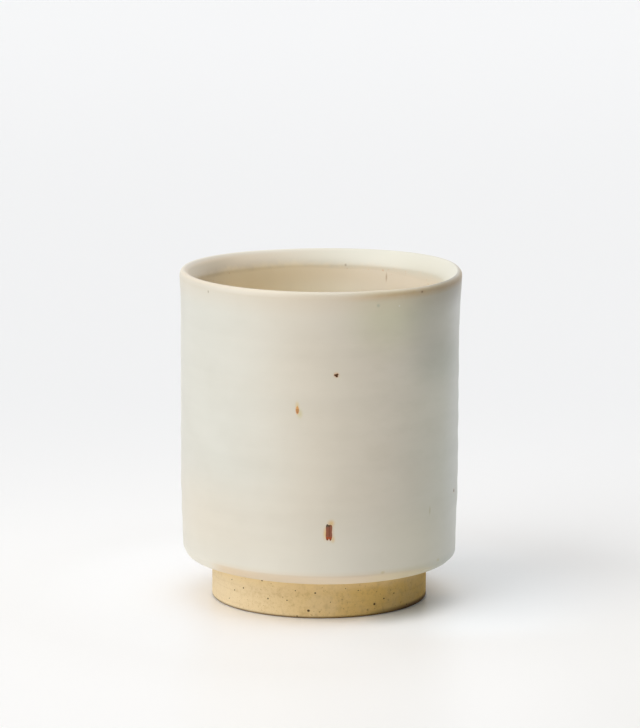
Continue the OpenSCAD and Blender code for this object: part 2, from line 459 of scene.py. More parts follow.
def coat_marks(grid, outside, inside, b, s):
    """Attributes of the dipped coat, from humps and steps of the depth below the lip and the bearing.

    thin is the glaze drawn thin over the lip's outer edge and the bevel, low its rolled edge (with painted
    light at the far left), rim a line under the lip, crest the top of the lip, where a highlight is
    painted, and dip the depth inside as a share of the dip's line.
    """
    r, z = grid[..., 0], grid[..., 1]
    depth, height = s.cup_h - z, z - s.shoulder_z
    outer, front = outer_side(r, s), window(b, "front")
    band = hump(depth, LIP_BAND, LIP_BAND) * (0.22 + 0.60 * window(b, "thin lip"))
    peach = 0.65 * ease(2 - depth / LIP_BAND) * window(b, "peach lip")
    # The rolled edge mark reaches round the far left to carry painted light there
    low = np.maximum(front * (1 - 0.35 * window(b, "faint edge")), window(b, "left edge light"))
    last = outside + inside
    dip = np.zeros(r.shape)
    inner = ease((lip_centre(s)[0] - r) / (0.5 * MM)) * (z > lip_edge(s) - 0.01 * MM)
    dip[:outside] = DIP_START * inner[:outside]
    dip[outside:last] = np.maximum(depth[outside:last] / dip_line(b, s), DIP_START)
    return {
        "thin": outer * np.maximum(band, peach) + 0.4 * front * hump(height, 1.9 * MM, 0.8 * MM),
        "low": low * ease((2.9 * MM - height) / (1.8 * MM)),
        "dip": dip,
        # The crest mark carries a painted highlight
        "crest": ease((1.2 * MM - depth) / (1.1 * MM)) * (1 - window(b, "crest without highlight")),
        "rim": outer * hump(depth, 1.2 * MM, 1.6 * MM) * window(b, "brown rim"),
    }


def skin(name, rows, closed, values=None):
    """A mesh over a grid of points (rows, columns, 3) that closes round its columns.

    closed is "loop" where the last row joins the first, or "poles" where the first and last rows are single
    points. values holds one number per point for each named attribute.
    """
    count, columns = rows.shape[:2]
    index = np.arange(count * columns).reshape(count, columns)
    if closed == "loop":
        used = index.ravel()
        index = np.concatenate([index, index[:1]])
    else:
        used = np.concatenate([index[0, :1], index[1:-1].ravel(), index[-1, :1]])
        index = 1 + np.arange((count - 2) * columns).reshape(count - 2, columns)
    right = np.roll(index, -1, 1)
    faces = np.stack([index[:-1], right[:-1], right[1:], index[1:]], -1).reshape(-1, 4).tolist()
    if closed == "poles":
        first, last = np.zeros(columns, int), np.full(columns, len(used) - 1)
        faces += np.stack([first, right[0], index[0]], -1).tolist()
        faces += np.stack([last, index[-1], right[-1]], -1).tolist()
    mesh = bpy.data.meshes.new(name)
    mesh.from_pydata(rows.reshape(-1, 3)[used].tolist(), [], faces)
    for key, numbers in (values or {}).items():
        layer = mesh.attributes.new(key, "FLOAT", "POINT")
        spread_out = np.broadcast_to(numbers, (count, columns)).ravel()[used]
        layer.data.foreach_set("value", spread_out.astype(np.float32))
    mesh.shade_smooth()
    piece = bpy.data.objects.new(name, mesh)
    bpy.context.scene.collection.objects.link(piece)
    return piece


# Shader maths

# Noise of the finishes: features per metre across and up, detail and roughness
NOISES = {
    "glaze drift": (55, 55, 3.0, 0.5),
    "glaze cloud": (22, 22, 2.0, 0.5),
    "glaze grain": (420, 420, 4.0, 0.6),
    "glaze bands": (9, 190, 3.0, 0.5),
    "glaze smudges": (130, 300, 4.0, 0.6),
    "dip dots": (950, 950, 1.0, 0.5),
    "liner drift": (60, 60, 3.0, 0.5),
    "liner dots": (900, 900, 1.0, 0.5),
    "sand drift": (110, 110, 3.0, 0.5),
    "sand grain": (2200, 2200, 3.0, 0.6),
    "sand lines": (30, 1100, 3.0, 0.5),
    "sand dots": (1300, 1300, 1.0, 0.5),
    "coarse grain": (700, 700, 3.0, 0.6),
    "clay drift": (90, 90, 3.0, 0.5),
    "clay grain": (2000, 2000, 3.0, 0.6),
    "iron mottle": (1800, 1800, 3.0, 0.5),
}

# A point of a piece: its place in Object coordinates, and the three parts of that
Point = namedtuple("Point", "place x y z")


class Flow:
    """A socket of a material; arithmetic on it adds Math nodes, and node() adds any other node."""

    def __init__(self, tree, socket=None):
        """Wraps a socket of a node tree, or the tree alone where nothing is made yet."""
        self.tree = tree
        self.socket = socket

    def node(self, kind, settings=None, inputs=None, output=0):
        """Adds a node, sets it up, fills its inputs by name or place and returns one output."""
        made = self.tree.nodes.new("ShaderNode" + kind)
        for key, value in (settings or {}).items():
            setattr(made, key, value)
        for key, value in (inputs or {}).items():
            if isinstance(value, Flow):
                self.tree.links.new(value.socket, made.inputs[key])
            else:
                made.inputs[key].default_value = value
        return Flow(self.tree, made.outputs[output])

    def math(self, operation, *values):
        """A Math node on values or Flows."""
        return self.node("Math", {"operation": operation}, dict(enumerate(values)))

    def __add__(self, other):
        """The sum of two values."""
        return self.math("ADD", self, other)

    def __sub__(self, other):
        """The difference of two values."""
        return self.math("SUBTRACT", self, other)

    def __rsub__(self, other):
        """The difference of a number and a value."""
        return self.math("SUBTRACT", other, self)

    def __mul__(self, other):
        """The product of two values."""
        return self.math("MULTIPLY", self, other)

    __radd__ = __add__
    __rmul__ = __mul__

    def step(self, low, high):
        """0 below low, 1 above high and an eased step between; low may be the larger."""
        return self.node("MapRange", {"interpolation_type": "SMOOTHSTEP"}, {0: self, 1: low, 2: high})

    def mm(self, low, high):
        """The same step for a length, between two lengths in millimetres."""
        return self.step(low * MM, high * MM)

    def mix(self, share, one, other, blend="MIX"):
        """A colour between one and other, as Flows or three numbers."""
        one, other = (tone if isinstance(tone, Flow) else (*tone, 1) for tone in (one, other))
        settings = {"data_type": "RGBA", "blend_type": blend}
        return self.node("Mix", settings, {0: share, 6: one, 7: other}, 2)

    def tint(self, share, tone, by):
        """A colour multiplied by another, as far as the share says."""
        return self.mix(share, tone, by, "MULTIPLY")

    def place(self):
        """The Object coordinates of a point."""
        return self.node("TexCoord", output="Object")

    def parts(self):
        """The x, y and z of a vector."""
        return [self.node("SeparateXYZ", None, {0: self}, axis) for axis in "XYZ"]

    def point(self):
        """The Object coordinates of a point, with their parts."""
        place = self.place()
        return Point(place, *place.parts())

    def stretched(self, scale):
        """A vector scaled by three numbers."""
        return self.node("Mapping", None, {"Vector": self, "Scale": scale})

    def size(self):
        """The length of a vector."""
        return self.node("VectorMath", {"operation": "LENGTH"}, {0: self}, "Value")

    def noise(self, name):
        """Noise between 0 and 1 at a place, by its name in the table."""
        across, up, detail, roughness = NOISES[name]
        place = self.stretched((across, across, up))
        inputs = {"Vector": place, "Scale": 1.0, "Detail": detail, "Roughness": roughness}
        return self.node("TexNoise", None, inputs)

    def own(self, name):
        """A number that the piece carries on its points."""
        return self.node("Attribute", {"attribute_name": name}, None, "Fac")

    def bump(self, height, distance, strength):
        """A normal bent by a height."""
        return self.node("Bump", None, {"Height": height, "Distance": distance, "Strength": strength})


def material(name, **constants):
    """A new material with one Principled shader whose constants are set on its own sockets."""
    made = bpy.data.materials.new(name)
    made.use_nodes = True
    shader = made.node_tree.nodes["Principled BSDF"]
    for key, value in constants.items():
        shader.inputs[key.replace("_", " ")].default_value = value
    return made, Flow(made.node_tree), shader


def feed(flow, shader, **links):
    """Links Flows to the shader's sockets."""
    for key, value in links.items():
        flow.tree.links.new(value.socket, shader.inputs[key.replace("_", " ")])


# Finishes

# Constants of the shaders, and distance and strength of their bumps
GLAZED = {"IOR": 1.5}
MELTED = {"IOR": 1.5, "Specular_IOR_Level": 0.15}
BARE = {"IOR": 1.45, "Specular_IOR_Level": 0.25}
GLAZE_BUMP = (0.04 * MM, 0.3)
CLAY_BUMP = (0.10 * MM, 0.6)

# Iron spots: bearing in degrees; height, width and length in millimetres; squareness of the outline; depth
# of a notch at the foot; and depth of the lobes
IRON_MARKS = {
    "streak": (3.9, 27.2, 1.95, 4.9, 6.0, 0.14, 0.0),
    "long_fleck": (-9.0, 62.2, 1.0, 2.6, 1.6, 0.0, 0.0),
    "round_fleck": (6.6, 72.3, 1.25, 1.15, 2.0, 0.0, 0.25),
    "side_fleck": (75.0, 33.0, 0.8, 1.1, 2.0, 0.0, 0.1),
}

# Colours of an iron spot, from the lowest layer to the highest
IRON_LAYERS = ("brown", "rust", "olive", "iron")

# Stains: bearing in degrees; height, reach across and reach up in millimetres; colour and strength
STAINS = (
    (51.5, 30.3, 0.5, 1.9, (0.42, 0.38, 0.18), 0.55),
    (-51.5, 93.3, 0.4, 0.6, (0.20, 0.16, 0.06), 0.85),
    (23.5, 91.6, 0.8, 0.8, (0.36, 0.40, 0.30), 0.50),
    (44.5, 94.2, 0.7, 0.5, (0.15, 0.08, 0.03), 0.85),
    # Painted highlight: the pale glint of a pinhole
    (33.0, 91.0, 0.4, 0.4, (0.78, 0.76, 0.70), 0.80),
    (-9.1, 63.5, 0.9, 1.7, (0.66, 0.52, 0.26), 0.80),
    (-8.0, 61.2, 1.2, 2.0, (0.60, 0.53, 0.27), 0.70),
    (4.8, 29.8, 1.5, 1.6, (0.66, 0.44, 0.17), 0.85),
    (2.4, 26.8, 0.9, 2.6, (0.72, 0.52, 0.22), 0.85),
    (5.5, 25.2, 1.0, 1.6, (0.70, 0.50, 0.22), 0.75),
    (27.0, 14.6, 1.0, 0.7, (0.56, 0.46, 0.20), 0.60),
    (59.0, 14.8, 1.4, 0.7, (0.54, 0.48, 0.24), 0.55),
    (150.0, 58.0, 0.5, 0.8, (0.30, 0.14, 0.05), 0.80),
    (-140.0, 40.0, 0.4, 0.5, (0.20, 0.12, 0.05), 0.80),
    (-110.0, 76.0, 0.5, 0.5, (0.34, 0.20, 0.08), 0.70),
)

# The same for stains on the inside of the wall
INSIDE_STAINS = (
    (147.0, 88.6, 0.45, 2.0, (0.40, 0.25, 0.11), 0.65),
    (168.0, 91.4, 0.55, 0.6, (0.30, 0.20, 0.10), 0.60),
    (-160.0, 80.0, 0.5, 0.8, (0.34, 0.20, 0.09), 0.60),
    (20.0, 62.0, 0.5, 0.7, (0.30, 0.17, 0.07), 0.70),
)

# How far a stain reaches into the wall and out of it
STAIN_DEPTH = 4 * MM

# Larger specks on the outside of the foot ring: bearing in degrees, and height and radius in millimetres
FOOT_SPECKS = (
    (-31.5, 10.0, 0.35), (-44.0, 6.8, 0.35), (-51.0, 5.5, 0.30), (-53.5, 8.3, 0.25), (-56.0, 2.5, 0.25),
    (-17.0, 5.0, 0.25), (-5.5, 2.3, 0.55), (-2.0, 7.5, 0.35), (-12.5, 8.0, 0.25), (30.5, 3.3, 0.50),
    (36.5, 4.5, 0.35), (43.5, 5.5, 0.30), (21.0, 7.8, 0.25), (54.0, 1.2, 0.30), (6.0, 4.8, 0.20),
    (-11.5, 0.6, 0.30), (14.0, 8.6, 0.20), (96.0, 4.0, 0.40), (-120.0, 6.0, 0.40), (170.0, 3.0, 0.45),
)

# Soft patches of the wall: bearing in degrees, and height and reach along x, y and z in millimetres
PATCHES = {
    "olive": (30, 89.0, 18, 25, 16),
    "blush": (-59.5, 26.0, 50, 45, 22),
    # Painted shade and dark reflection: the next four patches, under the lip and lower down on the right
    "lip_shade": (55, 92.5, 16, 22, 32),
    "clear": (60, 85.0, 14, 22, 8.5),
    "rim shade": (74, 93.5, 13, 24, 7.5),
    "green shade": (62, 72.9, 20, 30, 10.5),
}

# Tints that a colour is multiplied by
TINTS = {
    "warm": (1.0, 0.985, 0.905),
    "cool": (0.965, 0.995, 1.0),
    "dull": (0.955, 0.965, 0.945),
    "olive": (0.95, 0.985, 0.87),
    "drift": (0.945, 0.935, 0.92),
    "bands": (0.95, 0.95, 0.95),
    "smudges": (0.95, 0.955, 0.94),
    "right edge": (0.97, 0.97, 0.82),
    # Painted shade: the next two tints, under the lip and lower down on the right
    "rim shade": (0.67, 0.67, 0.67),
    "green shade": (0.78, 0.81, 0.79),
    # Painted shade inside the lip at the far left
    "left dip shade": (0.80, 0.81, 0.79),
    # Painted shade on the inside glaze at the far left
    "left liner shade": (0.70, 0.70, 0.76),
    # Painted light on the inside glaze deep down
    "deep liner light": (1.05, 1.10, 1.16),
    "mottled liner": (0.97, 0.94, 0.90),
    # Painted shade on the right of the foot
    "right foot shade": (0.78, 0.785, 0.82),
    # Painted contact shadow on the floor
    "floor contact": (0.74, 0.77, 0.785),
}


def nearness(place, centre, reach):
    """1 at a point and 0 beyond an ellipsoid of that reach along x, y and z, by an eased step."""
    away = place.node("VectorMath", {"operation": "SUBTRACT"}, {0: place, 1: centre})
    scaled = place.node("VectorMath", {"operation": "DIVIDE"}, {0: away, 1: reach})
    return scaled.size().step(1.0, 0.0)


def patch(place, name, s):
    """1 in the middle of a soft patch of the wall and 0 beyond its reach."""
    bearing, height, *reach = PATCHES[name]
    centre = around(s.lip_r, height * MM, np.radians(bearing))
    return nearness(place, centre, [size * MM for size in reach])


def stain(place, radius, bearing, height, across, tall):
    """1 at a point of a wall of that radius and 0 beyond a stain's reach across and up, in millimetres."""
    turn = {"Vector": place, "Angle": -np.radians(bearing)}
    faced = place.node("VectorRotate", {"rotation_type": "Z_AXIS"}, turn)
    return nearness(faced, (0.0, -radius, height * MM), (across * MM, STAIN_DEPTH, tall * MM))


def stained(place, tone, radius, stains):
    """A colour with the stains of a wall of that radius laid over it."""
    for *spot, tint, strength in stains:
        tone = place.mix(stain(place, radius, *spot) * strength, tone, tint)
    return tone


def stained_inside(place, tone, s):
    """A colour with the stains of the inside wall laid over it."""
    return stained(place, tone, s.lip_r - s.lip_flare - s.wall_t, INSIDE_STAINS)


def wall_tone(f, p, s, c, drift, cloud):
    """Colour of the glaze over the wall, from eased steps across and up it, soft patches and noise.

    It is cream in front, paler to the sides and cooler round the right as painted sheen, duller round the
    right, with a painted reflection far right, blushed low on the left, thin under the lip and pooled above
    the lower edge, with darker drifts, bands and smudges.
    """
    x, z = p.x, p.z
    # Painted sheen: paler glaze to both sides
    side = f.math("ABSOLUTE", x - 6 * MM + (cloud - 0.5) * 14 * MM)
    tone = f.mix(side.mm(6, 38), c.glaze, c.pale_glaze_and_side_sheen)
    tone = f.tint(x.mm(12, 24) * x.mm(37, 27) * z.mm(36, 20), tone, TINTS["warm"])
    # Painted sheen: cooler round the right
    tone = f.tint(x.mm(24, 38) * 0.7, tone, TINTS["cool"])
    # Painted reflection of the studio at the grazing right edge
    tone = f.mix(x.mm(34, 39.5) * 0.3, tone, c.glaze_far_reflection)
    tone = f.tint(x.mm(18, 30) * z.mm(85, 60), tone, TINTS["dull"])
    tone = f.tint(patch(p.place, "olive", s), tone, TINTS["olive"])
    tone = f.mix(patch(p.place, "blush", s) * 0.5, tone, c.glaze_blush)
    under_lip = z.step(s.cup_h - 9 * MM, s.cup_h - 1 * MM)
    tone = f.mix(under_lip * (0.24 + 0.11 * x.mm(-30, 20)), tone, c.glaze_thin)
    tone = f.tint(drift.step(0.40, 0.72) * 0.5, tone, TINTS["drift"])
    tone = f.tint(p.place.noise("glaze bands").step(0.35, 0.70) * 0.5, tone, TINTS["bands"])
    smudges = p.place.noise("glaze smudges").step(0.42, 0.66)
    tone = f.tint(smudges * (0.15 + 0.35 * x.mm(2, 20)), tone, TINTS["smudges"])
    pooled = z.mm(38, 18) * z.step(s.shoulder_z + 1.5 * MM, s.shoulder_z + 3.5 * MM)
    middle = x.mm(-25, 8) * x.mm(40, 22)
    return f.mix(pooled * (0.20 + 0.50 * middle), tone, c.pooled_glaze_and_painted_light)


def edged(f, p, c, tone, drift, grain, thin):
    """A colour of the wall with the rolled lower edge, the thin places and the brown rim laid over it.

    At the far left the rolled edge is paler: painted light on the down-facing bevel.
    """
    edge = f.mix(p.x.mm(-22, 10), c.glaze_thin, c.glaze_edge)
    # Painted light: the rolled edge paler at the far left, where the bevel faces down into shade
    edge = f.mix(p.x.mm(-27, -32), edge, c.pooled_glaze_and_painted_light)
    edge = f.tint(p.x.mm(10, 24), edge, TINTS["right edge"])
    tone = f.mix(f.own("low") * (0.70 + 0.35 * drift), tone, edge)
    tone = f.mix(thin.step(0.05, 1.0) * 0.85, tone, c.glaze_thin)
    return f.mix(f.own("rim") * (0.18 + 0.45 * grain), tone, c.rim)


def painted_lip_shade(f, p, s, c, tone, drift, cloud):
    """A colour of the wall darkened by painted shade and dark reflection, in soft patches under the lip on
    the right.
    """
    drawn = drift.step(0.05, 0.40)
    share = patch(p.place, "lip_shade", s) * (0.756 - 0.25 * patch(p.place, "clear", s))
    tone = f.tint(share * drawn, tone, c.lip_shade)
    tone = f.tint(patch(p.place, "rim shade", s) * drawn, tone, TINTS["rim shade"])
    return f.tint(patch(p.place, "green shade", s) * (0.35 + 0.65 * cloud), tone, TINTS["green shade"])


def over_lip(f, p, c, tone, drift, grain):
    """A colour of the wall with the lip's crest and inside laid over it, down to the dip's line.

    The crest gets a painted highlight, and the dip's band a painted shade at the far left.
    """
    crest, dip = f.own("crest"), f.own("dip")
    double = f.mix(p.x.mm(-34, 14), c.double_warm, c.double)
    # Painted highlight: half the paler double glaze on the crest
    tone = f.mix(f.math("MAXIMUM", crest * 0.5, dip.step(0.0, DIP_START)), tone, double)
    # Painted shade: the dip's band darker at the far left
    tone = f.tint(dip.step(DIP_START, 0.40) * p.x.mm(-22, -33), tone, TINTS["left dip shade"])
    # Painted highlight: the crest paler still at the back left
    tone = f.mix(crest * p.y.mm(-8, 12) * p.x.mm(6, -16) * 0.6, tone, c.crest)
    ragged = dip + (grain - 0.5) * 0.5 + (drift - 0.5) * 0.4
    tone = f.mix(ragged.step(0.60, 1.25), tone, liner_tone(f, p, c))
    dots = p.place.noise("dip dots").step(0.68, 0.76) * dip.step(0.80, 1.05)
    return f.mix(dots * 0.4, tone, c.amber)


def glaze_finish(s, c):
    """Half-gloss glaze: cream, paler to the sides by painted sheen, blushed low down, painted shade and
    peach under the lip, a painted highlight on the crest.
    """
    made, f, shader = material("pale_glaze", **GLAZED)
    p = f.point()
    drift = p.place.noise("glaze drift")
    cloud = p.place.noise("glaze cloud")
    grain = p.place.noise("glaze grain")
    thin = f.own("thin") * (0.75 + 0.5 * drift + (grain - 0.5) * 0.2)
    tone = wall_tone(f, p, s, c, drift, cloud)
    tone = edged(f, p, c, tone, drift, grain, thin)
    tone = painted_lip_shade(f, p, s, c, tone, drift, cloud)
    for bearing, height, width, run, *_ in IRON_MARKS.values():
        halo = stain(p.place, s.lip_r, bearing, height, width * 0.95, (run + width) * 0.5)
        tone = f.mix(halo * 0.8, tone, c.amber)
    tone = stained(p.place, tone, s.lip_r, STAINS)
    tone = over_lip(f, p, c, tone, drift, grain)
    feed(
        f, shader, Base_Color=stained_inside(p.place, tone, s),
        Roughness=0.34 + 0.10 * drift + 0.10 * thin,
        Normal=f.bump(grain + 2.0 * drift, *GLAZE_BUMP),
    )
    return made


def liner_tone(f, p, c):
    """Colour of the inside glaze: mottled, warmer to the left, with painted shade far left and painted
    light deep down.
    """
    x, z = p.x, p.z
    tone = f.mix(x.mm(-26, 26), c.liner_warm, c.liner)
    # Painted shade: greyer and darker at the far left
    tone = f.tint(x.mm(-25, -36), tone, TINTS["left liner shade"])
    middle = x.mm(-22, -4) * x.mm(24, 8)
    # Painted light: paler deep down in the middle
    tone = f.tint(z.mm(89, 84) * z.mm(50, 78) * middle, tone, TINTS["deep liner light"])
    return f.tint(p.place.noise("liner drift").step(0.35, 0.75) * 0.5, tone, TINTS["mottled liner"])


def liner_finish(s, c):
    """Thin inside glaze: tan, mottled, a little greyer in the corner where it pooled."""
    made, f, shader = material("inside_glaze", **GLAZED)
    p = f.point()
    pooled = p.z.step(corner_top(s), s.floor_z)
    tone = f.mix(pooled * 0.30, liner_tone(f, p, c), c.pale_glaze_and_side_sheen)
    dots = p.place.noise("liner dots").step(0.78, 0.83)
    tone = f.mix(dots * 0.6, tone, c.amber)
    feed(
        f, shader, Base_Color=stained_inside(p.place, tone, s),
        Roughness=0.36 + 0.15 * p.place.noise("liner drift"),
        Normal=f.bump(p.place.noise("glaze grain"), *GLAZE_BUMP),
    )
    return made


def scattered_specks(place, scale, share, size):
    """Small round specks, one in some of the cells of a Voronoi pattern."""
    settings, inputs = {"feature": "F1"}, {"Vector": place, "Scale": scale}
    away = place.node("TexVoronoi", settings, inputs, "Distance")
    lot = place.node("TexVoronoi", settings, inputs, "Color").parts()[0]
    return away.step(size, size * 0.5) * lot.step(1 - share, 1 - share + 0.02)


def foot_specks(f, place, s):
    """Iron specks of the foot: small ones scattered by lot, and the larger ones of the table."""
    specks = scattered_specks(place, 620.0, 0.04, 0.20)
    for bearing, height, radius in FOOT_SPECKS:
        speck = stain(place, s.foot_r, bearing, height, radius * 1.15, radius)
        specks = f.math("MAXIMUM", specks, speck.step(0.15, 0.5))
    return specks


def sand_finish(s, c):
    """Bare sandy clay of the foot: fine grains, paler on the left, painted light at the top, painted shade
    on the right, a painted contact shadow at its lower edge, turned lines and iron specks.
    """
    made, f, shader = material("sandy_clay", **BARE)
    p = f.point()
    x, y, z = p.x, p.y, p.z
    grain = p.place.noise("sand grain")
    coarse = p.place.noise("coarse grain")
    lines = p.place.noise("sand lines")
    specks = foot_specks(f, p.place, s)
    calm = x.mm(-5, -28)
    # Paler towards the left
    tone = f.mix(x.mm(26, -34), c.sand, c.sand_pale)
    tone = f.mix(coarse.step(0.45, 0.75) * (0.42 - 0.27 * calm), tone, c.sand_dark)
    tone = f.mix(grain.step(0.50, 0.75) * 0.25, tone, c.sand_dark)
    tone = f.mix(p.place.noise("sand drift").step(0.45, 0.75) * 0.25, tone, c.sand_pale)
    tone = f.mix(lines.step(0.55, 0.75) * 0.15, tone, c.sand_dark)
    # Painted light: lighter at the top of the foot, under the overhang's shade
    tone = f.mix(z.mm(7.0, 10.5) * 0.55, tone, c.sand_top_painted_light)
    # Painted shade: darker and cooler on the right of the foot
    tone = f.tint(x.mm(14, 29) * y.mm(0, -8), tone, TINTS["right foot shade"])
    dots = p.place.noise("sand dots").step(0.70, 0.76)
    tone = f.mix(dots * (0.62 - 0.35 * calm), tone, c.sand_dot)
    tone = f.mix(specks * 0.95, tone, c.speck)
    outside = p.place.stretched((1, 1, 0)).size().step(s.foot_r - 0.6 * MM, s.foot_r - 0.2 * MM)
    # Painted contact shadow: the speck colour along the foot's lower outer edge, taller to the right
    tone = f.mix(z.mm(0.9, 0.2) * outside * 0.75, tone, c.speck)
    tone = f.mix(z.mm(1.9, 0.7) * x.mm(8, 29) * outside * 0.85, tone, c.speck)
    feed(
        f, shader, Base_Color=tone, Roughness=0.78 + 0.15 * grain,
        Normal=f.bump(grain * 0.5 + coarse - specks * 0.8 + lines * 0.5, *CLAY_BUMP),
    )
    return made


def clay_finish(c):
    """Bare clay of the underside, with a little sand and iron specks."""
    made, f, shader = material("turned_clay", **BARE)
    place = f.place()
    grain = place.noise("clay grain")
    coarse = place.noise("coarse grain")
    specks = scattered_specks(place, 480.0, 0.06, 0.24)
    tone = f.mix(coarse.step(0.45, 0.75) * 0.35, c.clay, c.sand_dark)
    tone = f.mix(place.noise("clay drift").step(0.4, 0.75) * 0.35, tone, c.sand_pale)
    feed(
        f, shader, Base_Color=f.mix(specks * 0.9, tone, c.speck), Roughness=0.78 + 0.15 * grain,
        Normal=f.bump(grain * 0.5 + coarse - specks * 0.8, *CLAY_BUMP),
    )
    return made


def iron_finish(c):
    """Iron melted through the glaze: amber at its rim, then layers of brown, rust, olive and dark iron."""
    made, f, shader = material("iron_melt", **MELTED)
    mottle = f.place().noise("iron mottle")
    tone = c.amber
    for layer in IRON_LAYERS:
        share = f.own(layer) * (0.75 + 0.5 * mottle)
        tone = f.mix(share.step(0.1, 0.9), tone, getattr(c, layer))
    feed(f, shader, Base_Color=tone, Roughness=0.35 + 0.2 * mottle)
    return made


# Pieces


def finish_piece(piece, made, node):
    """Gives a piece its finish, parents it to the body and hides the solid that it stands for."""
    piece.data.materials.append(made)
    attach(piece, BODY)
    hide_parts(node)


class CUP_OT_outside_glaze(bpy.types.Operator):
    """Coat of glaze over the wall and the lip, ending in a rolled edge under the lower corner"""

    bl_idname = "cup.outside_glaze"
    bl_label = "Outside glaze"

    def execute(self, context):
        """Makes the coat as a closed loop of rows, with its attributes."""
        s, c = context.scene.cup_sizes, context.scene.cup_colours
        b = bearings()
        grid, outside, inside = coat_grid(b, s)
        marks = coat_marks(grid, outside, inside, b, s)
        piece = skin("outside_glaze", hand_thrown(grid, s, b), "loop", marks)
        finish_piece(piece, glaze_finish(s, c), "outer_glaze")
        return {"FINISHED"}


class CUP_OT_inside_glaze(bpy.types.Operator):
    """Liner of glaze on the inside wall, the corner and the floor"""

    bl_idname = "cup.inside_glaze"
    bl_label = "Inside glaze"

    def execute(self, context):
        """Makes the liner from the middle of its back, up behind the wall and down its face again."""
        s, c = context.scene.cup_sizes, context.scene.cup_colours
        top = s.cup_h - s.liner_top
        shown = joined(inside_path(top, LINER_SUNK, s, SHOWN_ROWS), floor_path(LINER_SUNK, s, 40))
        behind = joined(inside_path(top, s.glaze_t, s, 30), floor_path(s.glaze_t, s, 16))
        grid = spread(np.concatenate([behind[::-1], shown]))
        piece = skin("inside_glaze", hand_thrown(grid, s, bearings()), "poles")
        finish_piece(piece, liner_finish(s, c), "inner_glaze")
        return {"FINISHED"}


class CUP_OT_clay_body(bpy.types.Operator):
    """Thrown clay wall and floor, bare on the underside"""

    bl_idname = "cup.clay_body"
    bl_label = "Clay body"

    def execute(self, context):
        """Makes the clay from the middle of its underside, out, up, over the lip and down to the floor.

        Inside the foot ring a sine of radius and bearing turns a spiral round an eased button.
        """
        s, c = context.scene.cup_sizes, context.scene.cup_colours
        b = bearings()
        corner = clay_corner(s)
        under = joined(
            path(np.linspace(0, s.foot_r, 120), s.foot_h),
            path(np.linspace(s.foot_r, corner[0], 16), np.linspace(s.foot_h, corner[1], 16)),
        )
        deep = s.glaze_t + CLAY_GAP
        profile = np.concatenate([
            under,
            outside_path(bevel_top(s), deep, s, HIDDEN_ROWS),
            inside_path(lip_edge(s), deep, s, HIDDEN_ROWS)[1:],
            floor_path(deep, s, 16)[1:],
        ])
        points = hand_thrown(spread(profile), s, b)
        r = under[:, None, 0]
        spiral = s.spiral_depth * np.sin(2 * np.pi * r / s.spiral_pitch - b) * ease(r / (3 * MM))
        button = s.button_h * (1 - ease(r / s.button_r))
        points[:len(under), :, 2] -= (spiral + button) * (r < s.foot_r - s.foot_w)
        piece = skin("clay_body", points, "poles")
        finish_piece(piece, clay_finish(c), "thrown_body")
        return {"FINISHED"}


class CUP_OT_foot_ring(bpy.types.Operator):
    """Bare clay ring that the cup stands on"""

    bl_idname = "cup.foot_ring"
    bl_label = "Foot ring"

    def execute(self, context):
        """Makes the ring from a closed profile: straight outside, leaning inside, rounded at the table."""
        s, c = context.scene.cup_sizes, context.scene.cup_colours
        edge, inner = s.foot_edge_r, s.foot_r - s.foot_w
        profile = np.concatenate([
            arc((s.foot_r - edge, edge), edge, -90, 0, 8),
            path(s.foot_r, np.linspace(edge, s.foot_h, 40))[1:],
            path(np.linspace(s.foot_r, inner - s.foot_lean, 8), s.foot_h)[1:],
            path(np.linspace(inner - s.foot_lean, inner, 24), np.linspace(s.foot_h, edge, 24))[1:],
            arc((inner + edge, edge), edge, 180, 270, 8)[1:],
            path(np.linspace(inner + edge, s.foot_r - edge, 10), 0.0)[1:-1],
        ])
        grid = spread(profile)
        piece = skin("foot_ring", around(grid[..., 0], grid[..., 1], bearings()), "loop")
        finish_piece(piece, sand_finish(s, c), "foot_ring")
        return {"FINISHED"}


